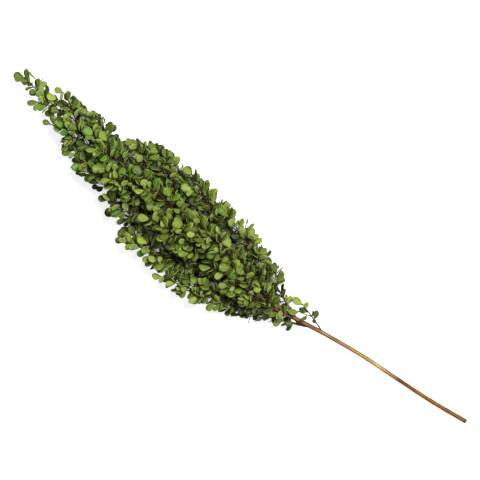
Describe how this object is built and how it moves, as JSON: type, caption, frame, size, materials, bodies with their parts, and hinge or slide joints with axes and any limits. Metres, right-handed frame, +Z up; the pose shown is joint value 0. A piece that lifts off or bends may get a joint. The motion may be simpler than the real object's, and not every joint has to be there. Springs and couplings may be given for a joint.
{
  "type": "cape myrtle branch",
  "caption": "Cut branch of small-leaved evergreen foliage, with a bare woody stem and leafy side sprays, lying on a flat surface.",
  "frame": {"origin": "on the surface that the branch lies on, below the middle of its bounding box", "axes": "+X from the cut end of the stem to the leafy tip, +Z up from the surface, +Y to the left for someone who looks from the cut end to the tip"},
  "size_m": [0.6235, 0.1228, 0.072],
  "materials": {
    "bark": "satin golden-brown bark with a pale bloom, darker and redder on young twigs",
    "leaf": "satin olive-green leathery leaf with a fine pale net of veins and a paler underside"
  },
  "bodies": {
    "root": {"main_stem": "bark", "leader": "leaf", "left_spray_01": "leaf", "left_spray_02": "leaf", "left_spray_03": "leaf", "left_spray_04": "leaf", "left_spray_05": "leaf", "left_spray_06": "leaf", "left_spray_07": "leaf", "left_spray_08": "leaf", "left_spray_09": "leaf", "left_spray_10": "leaf", "left_spray_11": "leaf", "left_spray_12": "leaf", "right_spray_01": "leaf", "right_spray_02": "leaf", "right_spray_03": "leaf", "right_spray_04": "leaf", "right_spray_05": "leaf", "right_spray_06": "leaf", "right_spray_07": "leaf", "right_spray_08": "leaf", "right_spray_09": "leaf", "right_spray_10": "leaf", "right_spray_11": "leaf", "right_spray_12": "leaf", "right_spray_13": "leaf", "top_spray_01": "leaf", "top_spray_02": "leaf", "top_spray_03": "leaf", "top_spray_04": "leaf", "top_spray_05": "leaf", "top_spray_06": "leaf", "under_spray_01": "leaf", "under_spray_02": "leaf", "under_spray_03": "leaf"}
  },
  "joints": []
}
